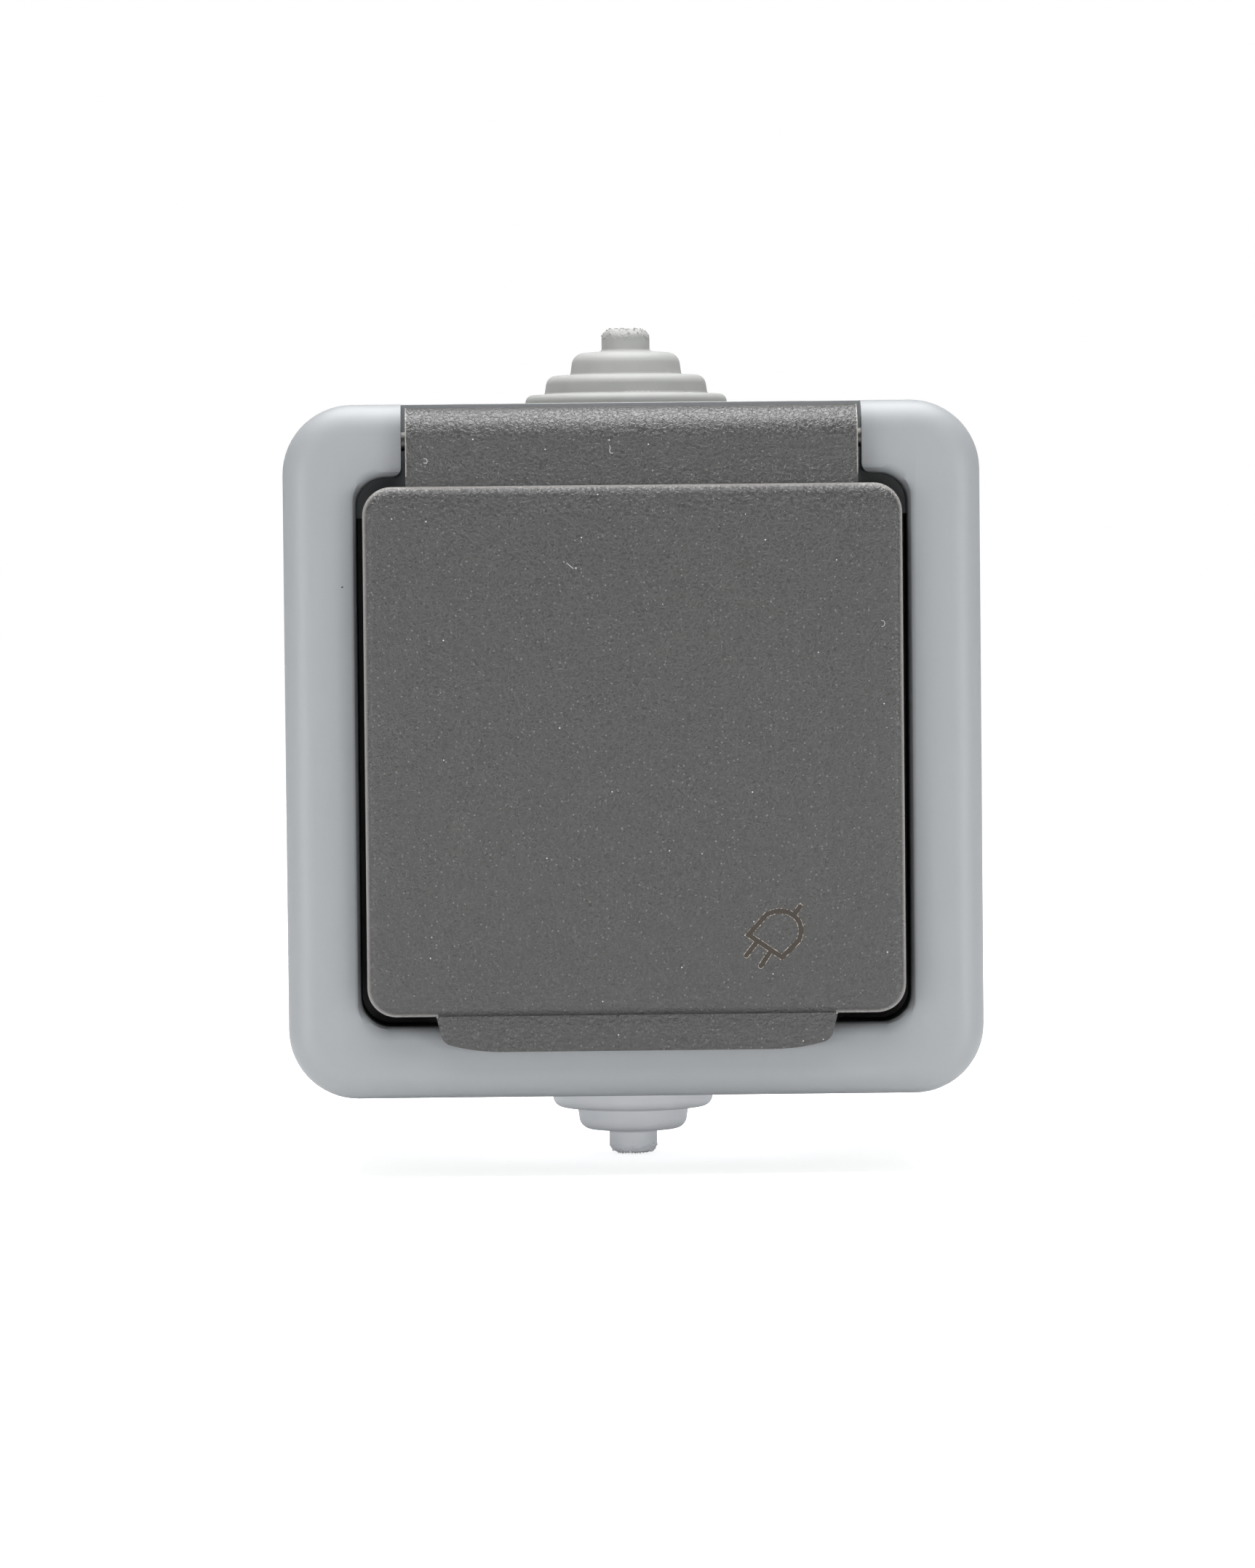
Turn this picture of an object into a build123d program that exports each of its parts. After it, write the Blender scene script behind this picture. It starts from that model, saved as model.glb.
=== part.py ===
from build123d import *
from math import cos, radians, sin
import os

# Weatherproof surface socket outlet with a sprung, hinged lid.
# All sizes are millimetres. The wall is the plane y = 0, the front faces -Y, +Z is up
# and x = 0 is the middle. A depth is a distance in front of the wall.

# Back box
box_depth = 31.0
box_wall = 2.4
box_floor = 2.2
box_rear_edge = 1.0
back_relief = 0.7
back_rim = 3.0
slot_pad = 1.6
rim_height = 2.4
rim_clearance = 0.25
web_thickness = 1.6

# Cover frame
rim_side_room = 4.05
rim_end_room = 4.0
border_side = 7.35
border_end = 7.3
frame_overhang = 0.7
frame_corner = 7.0
frame_depth = 16.4
frame_wall = 1.9
frame_edge = 3.0
border_wall = 2.0
opening_corner = 2.9
side_round = 0.6
top_round = 1.0
bottom_round = 1.3
round_depth = 1.2
round_steps = 3
recess_depth = 5.4
recess_floor = 2.0
gutter_width = 1.6
gutter_depth = 2.8
gutter_wall = 1.6
gutter_corner = 0.4
corner_ledge = 4.1
seal_thickness = 0.8
seal_inset = 0.4
seal_clearance = 0.1

# Lid
lid_side_gap = 0.7
lid_top_gap = 1.0
lid_bottom_gap = 1.2
lid_corner = 2.9
lid_proud = 3.4
lid_floor_gap = 1.4
lid_wall = 1.8
lid_edge = 1.1
lid_crown = 0.3
lid_crown_width = 3.0
lip_inset = 6.85
lip_drop = 3.6
lip_thickness = 1.5
lip_gap = 0.55
lip_slant = 0.7
lip_end_rise = 0.9
lip_end_sweep = 6.0
lip_corner = 1.3
lid_rib_height = 2.2
lid_rib = 1.0

# Hinge
notch_shoulder = 4.6
flap_side_gap = 0.45
flap_thickness = 1.4
flap_step = 1.4
barrel_radius = 3.3
barrel_below_top = 0.4
horn_length = 7.0
horn_corner = 1.0
pin_radius = 1.0
pin_seat_clearance = 0.03
pin_running_clearance = 0.06
pin_into_horn = 5.0
pin_end_clearance = 0.1
middle_knuckle = 16.0
hood_inner_radius = 2.1

# Torsion springs
spring_wire_radius = 0.28
spring_bore_clearance = 0.14
spring_groove = 0.2
spring_turns = 10
spring_leg = 4.2
spring_leg_radius = 0.25
spring_leg_clearance = 0.1
spring_pocket = 7.4

# Socket face
well_radius = 19.8
well_depth = 17.5
well_wall = 2.0
well_floor = 2.6
well_rim_height = 2.6
well_rim_width = 3.8
well_hole_clearance = 0.2
guide_width = 5.0
guide_height = 2.2
guide_root = 1.0
guide_below_rim = 3.0
mouth_edge = 0.5
pin_spacing = 19.0
plug_pin_radius = 2.4
plug_pin_clearance = 0.2
lid_seal_width = 2.2
lid_seal_gap = 0.1

# Contact base
base_side_margin = 1.2
base_end_margin = 1.9
base_corner = 3.0
base_back = 10.0
pocket_clearance = 0.3
wire_width = 4.0
base_screw_inset = 5.0

# Contacts and earth strap
contact_thickness = 0.7
contact_width = 6.0
contact_floor = 4.0
contact_front_gap = 0.9
contact_pin_gap = 0.25
contact_bend = 0.8
terminal_drop = 10.5
terminal_width = 6.6
strap_width = 5.0
strap_thickness = 0.8
strap_front_gap = 2.5
strap_boss_radius = 4.0
clip_setback = 0.6
clip_nose = 1.8
clip_lead = 3.6
clip_tail = 5.4
clip_front_gap = 4.8
clip_slot_clearance = 0.7
earth_terminal_x = 9.5
earth_terminal_z = 11.0

# Screws
screw_radius = 1.6
screw_thread_clearance = 0.05
screw_hole_clearance = 0.2
screw_head_radius = 2.8
screw_head_height = 1.3
screw_head_round = 0.4
screw_slot_width = 0.8
screw_slot_depth = 0.6
clamp_thickness = 0.9
frame_screw_inset = 6.6
frame_screw_length = 22.0
face_screw_length = 12.0
base_screw_length = 18.0
terminal_screw_length = 5.0
post_radius = 4.0
base_post_radius = 3.6
boss_radius = 3.6
boss_gap = 0.3
boss_length = 6.8

# Cable entries
entry_depth = 15.0
entry_width = 24.0
entry_length = 18.0
entry_corner = 3.0
entry_clearance = 0.1
plate_width = 38.0
plate_length = 22.0
plate_thickness = 1.0
plate_edge = 0.3
inner_flange_width = 28.0
inner_flange_length = 21.0
inner_flange_thickness = 1.2
membrane_wall = 1.2
flange_radius = 10.5
flange_height = 1.0
step_radius = 8.5
step_height = 2.0
dome_radius = 5.8
dome_height = 2.5
dome_crown = 0.25
nipple_radius = 2.5
nipple_height = 2.3
flange_round = 0.8
step_round = 1.1
dome_round = 1.3
nipple_round = 1.0
foot_round = 0.3
step_draft = 0.3

# Wall fixing
wall_slot_inset = 7.3
wall_slot_width = 4.4
wall_slot_length = 7.0

# Depths worked out from the sizes above
frame_rear = box_depth + seal_thickness
frame_front = frame_rear + frame_depth
floor_front = frame_front - recess_depth
floor_back = floor_front - recess_floor
lid_front = frame_front + lid_proud
lid_inside = lid_front - lid_wall
gutter_bottom = floor_front - gutter_depth
lid_rear = floor_front + lid_floor_gap
rim_front = floor_front + well_rim_height
well_bottom = rim_front - well_depth
face_back = well_bottom - well_floor
strap_back = face_back - strap_front_gap - strap_thickness
flap_front = lid_front - flap_step
barrel_depth = flap_front - barrel_radius
contact_back = base_back + contact_floor
base_screw_seat = face_back - screw_head_height - pocket_clearance
clamp_front = contact_back + contact_thickness + clamp_thickness
earth_clamp_front = strap_back + strap_thickness + clamp_thickness

# Widths and heights worked out from the sizes above, from the plug well outwards
rim_radius = well_radius + well_rim_width
well_outer_radius = well_radius + well_wall
opening_width = 2 * (rim_radius + rim_side_room)
opening_height = 2 * (rim_radius + rim_end_room)
frame_width = opening_width + 2 * border_side
frame_height = opening_height + 2 * border_end
box_width = frame_width - 2 * frame_overhang
box_height = frame_height - 2 * frame_overhang
box_corner = frame_corner - frame_overhang
lid_width = opening_width - 2 * lid_side_gap
lid_top = opening_height / 2 - lid_top_gap
lid_bottom = lid_bottom_gap - opening_height / 2
lid_height = lid_top - lid_bottom
lid_middle = (lid_top + lid_bottom) / 2
lip_width = lid_width - 2 * lip_inset
notch_width = opening_width - 2 * notch_shoulder
flap_width = notch_width - 2 * flap_side_gap
barrel_height = frame_height / 2 - barrel_below_top - barrel_radius
spring_start = middle_knuckle / 2
spring_radius = pin_radius + spring_bore_clearance + spring_wire_radius
rim_outer_width = frame_width - 2 * frame_wall - 2 * rim_clearance
rim_outer_height = frame_height - 2 * frame_wall - 2 * rim_clearance
lid_seal_radius = (well_radius + rim_radius) / 2
thread_radius = screw_radius + screw_thread_clearance
screw_hole_radius = screw_radius + screw_hole_clearance
pocket_width = terminal_width + 2 * pocket_clearance
pocket_bottom = terminal_drop + terminal_width / 2 + pocket_clearance
base_width = 2 * (well_outer_radius + base_side_margin)
base_height = 2 * (pocket_bottom + base_end_margin)
base_screw_offset = base_width / 2 - base_screw_inset
clip_radius = well_radius + clip_setback
frame_screw_x = opening_width / 2 - frame_screw_inset
frame_screw_z = opening_height / 2 - frame_screw_inset
wall_slot_x = box_width / 2 - wall_slot_inset
corners = [(side, end) for side in (-1, 1) for end in (-1, 1)]


def block(outline, near, far):
    """Push a front-view outline out from one depth to another."""
    return extrude(Plane.XZ.offset(near) * outline, amount=far - near)


def rounded(width, height, radius, near, far):
    """A rounded rectangle seen from the front, between two depths."""
    return block(RectangleRounded(width, height, radius), near, far)


def bar(x, z, width, height, near, far):
    """A square-cornered bar seen from the front, between two depths."""
    return block(Pos(x, z) * Rectangle(width, height), near, far)


def peg(x, z, radius, near, far):
    """A round peg that points out of the wall, between two depths."""
    return block(Pos(x, z) * Circle(radius), near, far)


def across(outline, left, right):
    """Push a side-view outline, drawn as (y, z), from one x to another."""
    return extrude(Plane.YZ.offset(left) * outline, amount=right - left)


def front_edges(solid):
    """The edges round the face that is furthest from the wall."""
    return solid.faces().sort_by(Axis.Y)[0].outer_wire().edges()


def back_box():
    """Moulded box with its rim, screw posts, cable cut-outs and wall slots."""
    body = rounded(box_width, box_height, box_corner, 0, box_depth)
    rear = body.faces().sort_by(Axis.Y)[-1].outer_wire().edges()
    body = fillet(rear, box_rear_edge)
    rim_corner = frame_corner - frame_wall - rim_clearance
    body += rounded(rim_outer_width, rim_outer_height, rim_corner, box_depth, box_depth + rim_height)
    inner_width = box_width - 2 * box_wall
    inner_height = box_height - 2 * box_wall
    inner_corner = box_corner - box_wall
    body -= rounded(inner_width, inner_height, inner_corner, box_floor, box_depth + rim_height)
    relief_width = box_width - 2 * back_rim
    relief_height = box_height - 2 * back_rim
    relief = RectangleRounded(relief_width, relief_height, inner_corner)
    for side in (-1, 1):
        pad = SlotOverall(wall_slot_length + 2 * slot_pad, wall_slot_width + 2 * slot_pad)
        relief -= Pos(side * wall_slot_x, 0) * pad
    body -= block(relief, 0, back_relief)
    post_front = floor_back - boss_length - boss_gap
    for side, end in corners:
        x = side * frame_screw_x
        z = end * frame_screw_z
        body += peg(x, z, post_radius, box_floor, post_front)
        web_middle = (frame_screw_x + inner_width / 2) / 2
        web_width = inner_width / 2 - frame_screw_x
        body += bar(side * web_middle, z, web_width, web_thickness, box_floor, box_depth)
        body -= peg(x, z, thread_radius, floor_front - frame_screw_length - boss_gap, post_front)
    for side in (-1, 1):
        x = side * base_screw_offset
        body += peg(x, 0, base_post_radius, box_floor, base_back)
        body -= peg(x, 0, thread_radius, base_screw_seat - base_screw_length - boss_gap, base_back)
        slot = Pos(side * wall_slot_x, 0) * SlotOverall(wall_slot_length, wall_slot_width)
        body -= block(slot, 0, box_floor)
    entry = Pos(0, -entry_depth) * RectangleRounded(entry_width, entry_length, entry_corner)
    body -= extrude(Plane.XY.offset(-box_height / 2) * entry, amount=box_wall)
    body -= extrude(Plane.XY.offset(box_height / 2 - box_wall) * entry, amount=box_wall)
    return body


def membrane_section(profile):
    """Half of a turned outline, drawn as (radius, height), swept round the entry's middle."""
    return Pos(0, -entry_depth, 0) * revolve(Plane.XZ * make_face(profile), Axis.Z)


def cable_grommet():
    """Top cable entry: a flat plate, a neck, an inner flange and a stepped cone, hollow inside."""
    wall_out = box_height / 2
    wall_in = wall_out - box_wall
    plate_top = wall_out + plate_thickness
    flange_top = plate_top + flange_height
    step_top = flange_top + step_height
    dome_top = step_top + dome_height
    tip = dome_top + nipple_height
    place = Pos(0, -entry_depth)
    plate = extrude(
        Plane.XY.offset(wall_out) * place * RectangleRounded(plate_width, plate_length, entry_corner),
        amount=plate_thickness,
    )
    plate = chamfer(plate.faces().sort_by(Axis.Z)[-1].outer_wire().edges(), plate_edge)
    neck_width = entry_width - 2 * entry_clearance
    neck_length = entry_length - 2 * entry_clearance
    neck = extrude(
        Plane.XY.offset(wall_in) * place * RectangleRounded(neck_width, neck_length, entry_corner),
        amount=box_wall,
    )
    inner = extrude(
        Plane.XY.offset(wall_in) * place
        * RectangleRounded(inner_flange_width, inner_flange_length, entry_corner),
        amount=-inner_flange_thickness,
    )
    outline = FilletPolyline(
        (0, wall_out),
        (flange_radius, wall_out),
        (flange_radius, flange_top),
        (step_radius, flange_top),
        (step_radius - step_draft, step_top),
        (dome_radius, step_top),
        (dome_radius - step_draft, dome_top - dome_crown),
        (nipple_radius, dome_top),
        (nipple_radius, tip),
        (0, tip),
        radius=[
            0, flange_round, foot_round, step_round, foot_round, dome_round, foot_round, nipple_round,
        ],
    )
    cone = membrane_section([outline, Line((0, tip), (0, wall_out))])
    bottom = wall_in - inner_flange_thickness
    hollow_radius = step_radius - membrane_wall
    throat_radius = dome_radius - membrane_wall
    hollow = Polyline(
        (0, bottom),
        (hollow_radius, bottom),
        (hollow_radius, step_top - membrane_wall),
        (throat_radius, step_top - membrane_wall),
        (throat_radius, dome_top - membrane_wall),
        (0, dome_top - membrane_wall),
        close=True,
    )
    return plate + neck + inner + cone - membrane_section(hollow)


def frame_gasket():
    """Flat rubber ring on the box's shoulder, under the cover frame."""
    outer_width = box_width - 2 * seal_inset
    outer_height = box_height - 2 * seal_inset
    outer = RectangleRounded(outer_width, outer_height, box_corner - seal_inset)
    inner_width = rim_outer_width + 2 * seal_clearance
    inner_height = rim_outer_height + 2 * seal_clearance
    inner_corner = frame_corner - frame_wall - rim_clearance + seal_clearance
    inner = RectangleRounded(inner_width, inner_height, inner_corner)
    return block(outer - inner, box_depth, frame_rear)


def flared_opening():
    """Cutter for the front opening, its edge turned over softly, most of all at both ends."""
    cutter = rounded(opening_width, opening_height, opening_corner, floor_front, frame_front)
    sections = []
    for step in range(round_steps + 1):
        turn = radians(90 * step / round_steps)
        share = 1 - cos(turn)
        top = share * top_round
        bottom = share * bottom_round
        width = opening_width + 2 * share * side_round
        height = opening_height + top + bottom
        outline = Pos(0, (top - bottom) / 2) * RectangleRounded(width, height, opening_corner)
        depth = round_depth * (1 - sin(turn))
        sections.append((Plane.XZ.offset(frame_front - depth) * outline).face())
    for rear_face, front_face in zip(sections, sections[1:]):
        cutter += loft([rear_face, front_face])
    return cutter


def gutter_ring(wall, near, far):
    """Ring along the recess's sides and bottom, thickened by a wall, that stops below the top corners."""
    outer = RectangleRounded(opening_width + 2 * wall, opening_height + 2 * wall, opening_corner + wall)
    inset = gutter_width + wall
    inner_corner = max(opening_corner - inset, gutter_corner)
    inner = RectangleRounded(opening_width - 2 * inset, opening_height - 2 * inset, inner_corner)
    above = Pos(0, opening_height - corner_ledge + wall) * Rectangle(2 * opening_width, opening_height)
    return block(outer - inner - above, near, far)


def notch_outline():
    """The hinge notch in the top border, its lower corners rounded where they meet the opening."""
    top = frame_height / 2
    low = opening_height / 2
    half = notch_width / 2
    wide = half + horn_corner
    left_turn = RadiusArc((-wide, low), (-half, low + horn_corner), -horn_corner)
    right_turn = RadiusArc((half, low + horn_corner), (wide, low), -horn_corner)
    walls = Polyline((-half, low + horn_corner), (-half, top), (half, top), (half, low + horn_corner))
    foot = Polyline((wide, low), (wide, low - horn_corner), (-wide, low - horn_corner), (-wide, low))
    return make_face([left_turn, walls, right_turn, foot])


def cover_frame():
    """Front frame: skirt, hollow border, recess floor with its gutter, hinge horns and screw bosses."""
    body = rounded(frame_width, frame_height, frame_corner, frame_rear, frame_front)
    body = fillet(front_edges(body), frame_edge)
    inner_width = frame_width - 2 * frame_wall
    inner_height = frame_height - 2 * frame_wall
    inner_corner = frame_corner - frame_wall
    border_back = frame_front - border_wall
    channel = rounded(inner_width, inner_height, inner_corner, floor_back, border_back)
    core_width = opening_width + 2 * frame_wall
    core_height = opening_height + 2 * frame_wall
    channel -= rounded(core_width, core_height, opening_corner + frame_wall, floor_back, border_back)
    horn_outside = notch_width / 2 + horn_length
    horn_middle = (opening_height + frame_height) / 4
    channel -= bar(0, horn_middle, 2 * horn_outside, border_end + frame_wall, floor_back, frame_front)
    body -= rounded(inner_width, inner_height, inner_corner, frame_rear, floor_back)
    body -= channel
    body += gutter_ring(gutter_wall, gutter_bottom - gutter_wall, floor_back)
    body -= gutter_ring(0, gutter_bottom, floor_front)
    body -= flared_opening()
    body -= block(notch_outline(), floor_front, frame_front)
    body -= peg(0, 0, well_outer_radius + well_hole_clearance, floor_back, floor_front)
    for side, end in corners:
        x = side * frame_screw_x
        z = end * frame_screw_z
        body += peg(x, z, boss_radius, floor_back - boss_length, floor_back)
        body -= peg(x, z, screw_hole_radius, floor_back - boss_length, floor_front)
    seat_radius = pin_radius + pin_seat_clearance
    axle = Pos(-barrel_depth, barrel_height) * Circle(seat_radius)
    body -= across(axle, -horn_outside, notch_width / 2 + pin_into_horn)
    return body


def lid_tray():
    """The lid's hollow panel, its front falling softly to the edges, with two ribs that hold the seal."""
    place = Pos(0, lid_middle)
    outline = place * RectangleRounded(lid_width, lid_height, lid_corner)
    shoulder = lid_front - lid_crown
    tray = block(outline, lid_rear, shoulder)
    flat_width = lid_width - 2 * lid_crown_width
    flat_height = lid_height - 2 * lid_crown_width
    flat = place * RectangleRounded(flat_width, flat_height, lid_corner)
    tray += loft([(Plane.XZ.offset(shoulder) * outline).face(), (Plane.XZ.offset(lid_front) * flat).face()])
    rim = tray.edges().filter_by_position(Axis.Y, -shoulder, -shoulder)
    tray = fillet(rim, lid_edge)
    inner_width = lid_width - 2 * lid_wall
    inner_height = lid_height - 2 * lid_wall
    hollow = place * RectangleRounded(inner_width, inner_height, lid_corner - lid_wall)
    tray -= block(hollow, lid_rear, lid_inside)
    groove_inner = lid_seal_radius - lid_seal_width / 2
    groove_outer = lid_seal_radius + lid_seal_width / 2
    ribs = Circle(groove_outer + lid_rib) - Circle(groove_outer)
    ribs += Circle(groove_inner) - Circle(groove_inner - lid_rib)
    return tray + block(ribs, lid_inside - lid_rib_height, lid_inside)


def finger_lip():
    """Thin lip below the panel, with slanted ends and a slightly bowed lower edge."""
    half = lip_width / 2
    foot = half - lip_slant
    level = foot - lip_end_sweep
    top = lid_bottom + lid_wall
    low = lid_bottom - lip_drop
    rise = low + lip_end_rise
    left_side = Polyline((-foot, rise), (-half, lid_bottom), (-half, top))
    right_side = Polyline((half, top), (half, lid_bottom), (foot, rise))
    right_end = TangentArc((level, low), (foot, rise), tangent=(1, 0))
    left_end = TangentArc((-level, low), (-foot, rise), tangent=(-1, 0))
    top_line = Line((-half, top), (half, top))
    level_line = Line((-level, low), (level, low))
    outline = make_face([left_side, top_line, right_side, right_end, level_line, left_end])
    ends = outline.vertices().sort_by(Axis.Y)[2:4]
    outline = fillet(ends, lip_corner)
    back = frame_front + lip_gap
    return block(outline, back, back + lip_thickness)


def hinge_barrel():
    """Rolled top edge of the lid: end and middle knuckles on the pin, hooded spring pockets between."""
    axle = Pos(-barrel_depth, barrel_height)
    flap_back = flap_front - flap_thickness
    flap = Pos(-(flap_front + flap_back) / 2, (barrel_height + lid_top) / 2)
    outline = axle * Circle(barrel_radius) + flap * Rectangle(flap_thickness, barrel_height - lid_top)
    half = flap_width / 2
    barrel = across(outline, -half, half)
    pocket_front = barrel_radius - flap_thickness
    pocket_size = pocket_front + barrel_radius
    pocket_middle = (barrel_radius - pocket_front) / 2
    pocket = axle * Pos(pocket_middle, -pocket_middle) * Rectangle(pocket_size, pocket_size)
    pocket += axle * Circle(hood_inner_radius)
    for start in (spring_start, -spring_start - spring_pocket):
        barrel -= across(pocket, start, start + spring_pocket)
    return barrel - across(axle * Circle(pin_radius + pin_running_clearance), -half, half)


def lid():
    """Panel, finger lip and hinge barrel, moulded in one piece."""
    return lid_tray() + finger_lip() + hinge_barrel()


def lid_gasket():
    """Rubber ring in the lid's groove that closes on the socket's rim."""
    ring = Circle(lid_seal_radius + lid_seal_width / 2) - Circle(lid_seal_radius - lid_seal_width / 2)
    return block(ring, rim_front + lid_seal_gap, lid_inside)


def hinge_pin():
    """Straight steel pin through the barrel, held in the frame's two horns."""
    end = notch_width / 2 + pin_into_horn - pin_end_clearance
    axle = Pos(-barrel_depth, barrel_height) * Circle(pin_radius)
    return across(axle, -end, end)


def lid_spring(start, fixed_end, moving_end):
    """Torsion spring on the pin: close turns, one leg on the frame and one behind the lid's flap."""
    pitch = 2 * spring_wire_radius
    inner = spring_radius - spring_wire_radius
    outer = spring_radius + spring_wire_radius
    groove = outer - spring_groove
    points = [(0, inner), (0, groove)]
    for turn in range(spring_turns):
        points += [((turn + 0.5) * pitch, outer), ((turn + 1) * pitch, groove)]
    points += [(spring_turns * pitch, inner)]
    section = make_face(Polyline(*points, close=True))
    coil = Pos(start, -barrel_depth, barrel_height) * revolve(Plane.XZ * section, Axis.X)
    behind = (barrel_depth - floor_front) - spring_wire_radius - spring_leg_clearance
    ahead = -(barrel_radius - flap_thickness - spring_wire_radius - spring_leg_clearance)
    legs = [(fixed_end, spring_radius, behind), (moving_end, -spring_radius, ahead)]
    for x, top, foot in legs:
        origin = Vector(x, top - barrel_depth, barrel_height)
        reach = Vector(0, foot - top, -spring_leg)
        leg = Cylinder(spring_leg_radius, reach.length, align=(Align.CENTER, Align.CENTER, Align.MIN))
        coil += Plane(origin=origin, z_dir=reach) * leg
    return coil


def lid_springs():
    """The left and the right spring, mirror images of each other."""
    length = 2 * spring_turns * spring_wire_radius
    inset = (spring_pocket - length) / 2
    near = spring_start + inset
    far = near + length
    right = lid_spring(near, far - spring_wire_radius, near + spring_wire_radius)
    left = lid_spring(-far, -far + spring_wire_radius, -near - spring_wire_radius)
    return left, right


def socket_face():
    """Round plug well with its rim, guides, pin holes and slots for the earth clips."""
    body = peg(0, 0, well_outer_radius, face_back, floor_front)
    body += peg(0, 0, rim_radius, floor_front, rim_front)
    body = fillet(front_edges(body), mouth_edge)
    body -= peg(0, 0, well_radius, well_bottom, rim_front)
    guide_front = rim_front - guide_below_rim
    guide_middle = well_radius + (guide_root - guide_height) / 2
    for side in (-1, 1):
        x = side * guide_middle
        body += bar(x, 0, guide_height + guide_root, guide_width, well_bottom, guide_front)
        body -= peg(side * pin_spacing / 2, 0, plug_pin_radius + plug_pin_clearance, face_back, well_bottom)
        slot_inner = clip_radius - clip_nose - strap_thickness
        slot_outer = well_outer_radius + clip_slot_clearance
        slot_height = slot_outer - slot_inner
        slot_z = side * (slot_outer + slot_inner) / 2
        slot_width = strap_width + 2 * clip_slot_clearance
        body -= bar(0, slot_z, slot_width, slot_height, face_back, floor_front - clip_slot_clearance)
    return body - peg(0, 0, screw_hole_radius, face_back, well_bottom)


def contact_base():
    """Moulded insulating block with pockets for the contacts, the strap and the screws."""
    body = rounded(base_width, base_height, base_corner, base_back, face_back)
    gap = pocket_clearance
    pocket_top = plug_pin_radius + contact_pin_gap + contact_thickness + gap
    pocket_height = pocket_top + pocket_bottom
    pocket_z = (pocket_top - pocket_bottom) / 2
    for side in (-1, 1):
        x = side * pin_spacing / 2
        body -= bar(x, pocket_z, pocket_width, pocket_height, contact_back, face_back)
        wire_z = -(pocket_bottom + base_height / 2) / 2
        wire_height = base_height / 2 - pocket_bottom
        wire_front = clamp_front + screw_head_height
        body -= bar(x, wire_z, wire_width, wire_height, contact_back, wire_front)
        screw_end = clamp_front - terminal_screw_length - gap
        body -= peg(x, -terminal_drop, thread_radius, screw_end, contact_back)
        hole_x = side * base_screw_offset
        body -= peg(hole_x, 0, screw_hole_radius, base_back, face_back)
        body -= peg(hole_x, 0, screw_head_radius + gap, base_screw_seat, face_back)
    body -= bar(0, 0, strap_width + 2 * gap, base_height, strap_back, face_back)
    body -= peg(0, 0, strap_boss_radius + gap, strap_back, face_back)
    body -= peg(0, 0, thread_radius, well_bottom - face_screw_length - gap, strap_back)
    tab_end = earth_terminal_x + terminal_width / 2 + gap
    body -= bar(tab_end / 2, earth_terminal_z, tab_end, terminal_width + 2 * gap, strap_back, face_back)
    screw_end = earth_clamp_front - terminal_screw_length - gap
    body -= peg(earth_terminal_x, earth_terminal_z, thread_radius, screw_end, strap_back)
    return body


def bent_strip(points, thickness, bend, width):
    """A strip of sheet metal bent along (y, z) points, centred on x = 0."""
    middle = FilletPolyline(*points, radius=bend)
    return across(trace(middle, thickness), -width / 2, width / 2)


def pin_contact(x):
    """Brass contact: two leaves round the plug's pin and a tail with a screw hole."""
    half = contact_thickness / 2
    leaf = plug_pin_radius + contact_pin_gap + half
    front = face_back - contact_front_gap
    seat = contact_back + half
    tail = terminal_drop + terminal_width / 2
    leaves = bent_strip(
        [(-front, leaf), (-seat, leaf), (-seat, -leaf), (-front, -leaf)],
        contact_thickness,
        contact_bend,
        contact_width,
    )
    tail_middle = -(tail + leaf) / 2
    foot = bar(0, tail_middle, terminal_width, tail - leaf, contact_back, contact_back + contact_thickness)
    hole = peg(0, -terminal_drop, thread_radius, contact_back, contact_back + contact_thickness)
    return Pos(x, 0, 0) * (leaves + foot - hole)


def earth_strap():
    """Bent strap across the base: a spring clip at each end, a threaded boss and a terminal tab."""
    half = strap_thickness / 2
    front = rim_front - clip_front_gap
    nose = clip_radius - clip_nose
    seat = strap_back + half
    bow = front - clip_lead
    root = bow - clip_tail
    points = [(-front, clip_radius), (-bow, nose), (-root, clip_radius), (-seat, clip_radius)]
    points += [(y, -z) for y, z in reversed(points)]
    strap = bent_strip(points, strap_thickness, contact_bend, strap_width)
    front_side = strap_back + strap_thickness
    strap += peg(0, 0, strap_boss_radius, strap_back, front_side)
    tab_end = earth_terminal_x + terminal_width / 2
    strap += bar(tab_end / 2, earth_terminal_z, tab_end, terminal_width, strap_back, front_side)
    strap -= peg(0, 0, thread_radius, strap_back, front_side)
    return strap - peg(earth_terminal_x, earth_terminal_z, thread_radius, strap_back, front_side)


def clamp_plate(x, z, back):
    """Square brass washer that presses the wire under a terminal screw."""
    size = terminal_width - 2 * pocket_clearance
    plate = bar(x, z, size, size, back, back + clamp_thickness)
    return plate - peg(x, z, thread_radius, back, back + clamp_thickness)


def screw(x, z, seat, length):
    """Pan-head screw with a cross slot, its head standing on the seat depth."""
    top = seat + screw_head_height
    head = peg(x, z, screw_head_radius, seat, top)
    head = fillet(front_edges(head), screw_head_round)
    for width, height in ((1, 0), (0, 1)):
        slot_width = screw_slot_width + width * screw_head_radius
        slot_height = screw_slot_width + height * screw_head_radius
        head -= bar(x, z, slot_width, slot_height, top - screw_slot_depth, top)
    return head + peg(x, z, screw_radius, seat - length, seat)


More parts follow.
